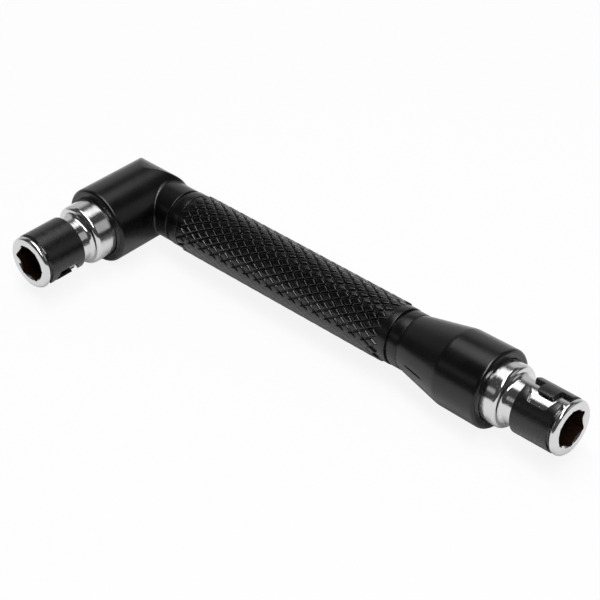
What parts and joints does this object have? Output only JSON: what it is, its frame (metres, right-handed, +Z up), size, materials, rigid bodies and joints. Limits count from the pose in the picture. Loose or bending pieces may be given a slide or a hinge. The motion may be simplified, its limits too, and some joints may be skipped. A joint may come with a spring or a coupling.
{
  "type": "offset screwdriver",
  "caption": "Offset screwdriver: L-shaped black handle with a diamond-knurled grip, a chromed hex bit socket in line with the bell end and another square to the handle at the elbow.",
  "frame": {"origin": "middle of the part's box, on the plane on which the two bosses lie", "axes": "+X along the handle from the elbow to the straight socket, -Y along the angled arm towards its socket, +Z up from the plane on which the part lies"},
  "size_m": [0.1094, 0.037, 0.0148],
  "materials": {
    "handle_plastic": "smooth moulded, semi-gloss black",
    "grip_plastic": "moulded diamond knurl, semi-gloss black",
    "socket_chrome": "bright chrome plate",
    "spring_steel": "black oxide on spring steel",
    "ball_steel": "polished steel"
  },
  "bodies": {
    "driver": {"handle_body": "handle_plastic", "knurled_grip": "grip_plastic", "straight_socket": "socket_chrome", "angle_socket": "socket_chrome"},
    "straight_sleeve": {"straight_spring_sleeve": "spring_steel"},
    "straight_ball": {"straight_detent_ball": "ball_steel"},
    "angle_sleeve": {"angle_spring_sleeve": "spring_steel"},
    "angle_ball": {"angle_detent_ball": "ball_steel"}
  },
  "joints": [
    {"name": "straight_sleeve_turn", "type": "hinge", "parent": "driver", "child": "straight_sleeve", "pos_m": [0.0494, 0.01115, 0.0074], "axis": [1, 0, 0], "continuous": true},
    {"name": "angle_sleeve_turn", "type": "hinge", "parent": "driver", "child": "angle_sleeve", "pos_m": [-0.04725, -0.0133, 0.0074], "axis": [0, -1, 0], "continuous": true},
    {"name": "straight_ball_slide", "type": "slide", "parent": "driver", "child": "straight_ball", "axis": [0, 0.5, -0.866], "range_m": [0, 0.00025], "stiffness_N_per_m": 2000, "springref_m": -0.0003},
    {"name": "angle_ball_slide", "type": "slide", "parent": "driver", "child": "angle_ball", "axis": [-0.8192, 0, 0.5736], "range_m": [0, 0.00025], "stiffness_N_per_m": 2000, "springref_m": -0.0003}
  ]
}
